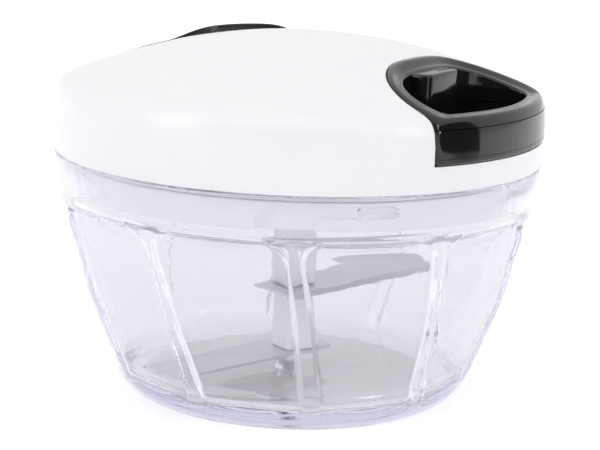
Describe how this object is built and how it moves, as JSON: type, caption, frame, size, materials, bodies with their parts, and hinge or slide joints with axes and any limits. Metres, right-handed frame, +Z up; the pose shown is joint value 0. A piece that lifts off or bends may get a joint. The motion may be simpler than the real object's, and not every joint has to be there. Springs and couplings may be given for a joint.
{
  "type": "pull-cord food chopper",
  "caption": "Hand food chopper: clear bowl with arched panels, a turning blade hub, and a domed lid with a cord reel that a black loop handle pulls.",
  "frame": {"origin": "middle of the base pad's underside, on the surface that the chopper stands on", "axes": "+Z up along the shared axis of bowl, blade hub and cord reel; -Y faces the viewer of the picture; +X to that viewer's right, the side of the pull handle, which leaves along (0.866, -0.5, 0)"},
  "size_m": [0.1284, 0.1284, 0.096],
  "materials": {
    "clear_plastic": "clear, polished",
    "hub_plastic": "milky, satin",
    "white_plastic": "smooth, semi-gloss",
    "inner_white_plastic": "smooth, semi-gloss",
    "black_plastic": "polished",
    "reel_plastic": "satin",
    "pawl_plastic": "satin",
    "blade_steel": "fine ground",
    "pin_steel": "turned",
    "screw_steel": "plated",
    "spring_steel": "blue-grey strip",
    "eyelet_steel": "polished",
    "pad_rubber": "matte",
    "seal_rubber": "matte",
    "cord": "round braided cord"
  },
  "bodies": {
    "bowl": {"bowl": "clear_plastic", "bowl_pivot_pin": "pin_steel", "non_slip_base": "pad_rubber"},
    "blades": {"blade_shaft": "hub_plastic", "upper_blade": "blade_steel", "lower_blade": "blade_steel"},
    "seal": {"lid_seal": "seal_rubber"},
    "lid": {"lid_shell": "white_plastic", "lid_inner_cover": "inner_white_plastic", "cover_screw_1": "screw_steel", "cover_screw_2": "screw_steel", "cover_screw_3": "screw_steel", "cord_eyelet": "eyelet_steel", "reel_axle": "pin_steel", "axle_clip": "screw_steel", "rear_grip": "black_plastic", "rear_grip_screw_1": "screw_steel", "rear_grip_screw_2": "screw_steel", "rewind_spring": "spring_steel", "pull_cord_lead": "cord"},
    "reel": {"cord_reel": "reel_plastic", "cord_winding": "cord", "pawl_1": "pawl_plastic", "pawl_2": "pawl_plastic"},
    "drive": {"drive_coupling": "reel_plastic"},
    "handle": {"handle_upper": "black_plastic", "handle_lower": "black_plastic", "handle_screw_1": "screw_steel", "handle_screw_2": "screw_steel", "cord_knot": "cord", "pull_cord": "cord"}
  },
  "joints": [
    {"name": "lid_lift", "type": "slide", "parent": "bowl", "child": "seal", "axis": [0, 0, 1], "range_m": [0, 0.06]},
    {"name": "lid_twist", "type": "hinge", "parent": "seal", "child": "lid", "pos_m": [0, 0, 0.0648], "axis": [0, 0, 1], "range_deg": [0, 19]},
    {"name": "handle_pull", "type": "slide", "parent": "lid", "child": "handle", "axis": [0.866, -0.5, 0], "range_m": [0, 0.26], "stiffness_N_per_m": 20, "springref_m": -0.12},
    {"name": "reel_spin", "type": "hinge", "parent": "lid", "child": "reel", "pos_m": [0, 0, 0.0762], "axis": [0, 0, -1], "range_deg": [0, 905]},
    {"name": "drive_spin", "type": "hinge", "parent": "seal", "child": "drive", "pos_m": [0, 0, 0.068], "axis": [0, 0, -1], "range_deg": [0, 905]},
    {"name": "blade_spin", "type": "hinge", "parent": "bowl", "child": "blades", "pos_m": [0, 0, 0.024], "axis": [0, 0, -1], "range_deg": [0, 905]}
  ],
  "couplings": [
    {"joint": "reel_spin", "follows": "handle_pull", "rad_per_m": 60.606},
    {"joint": "drive_spin", "follows": "handle_pull", "rad_per_m": 60.606},
    {"joint": "blade_spin", "follows": "handle_pull", "rad_per_m": 60.606}
  ]
}
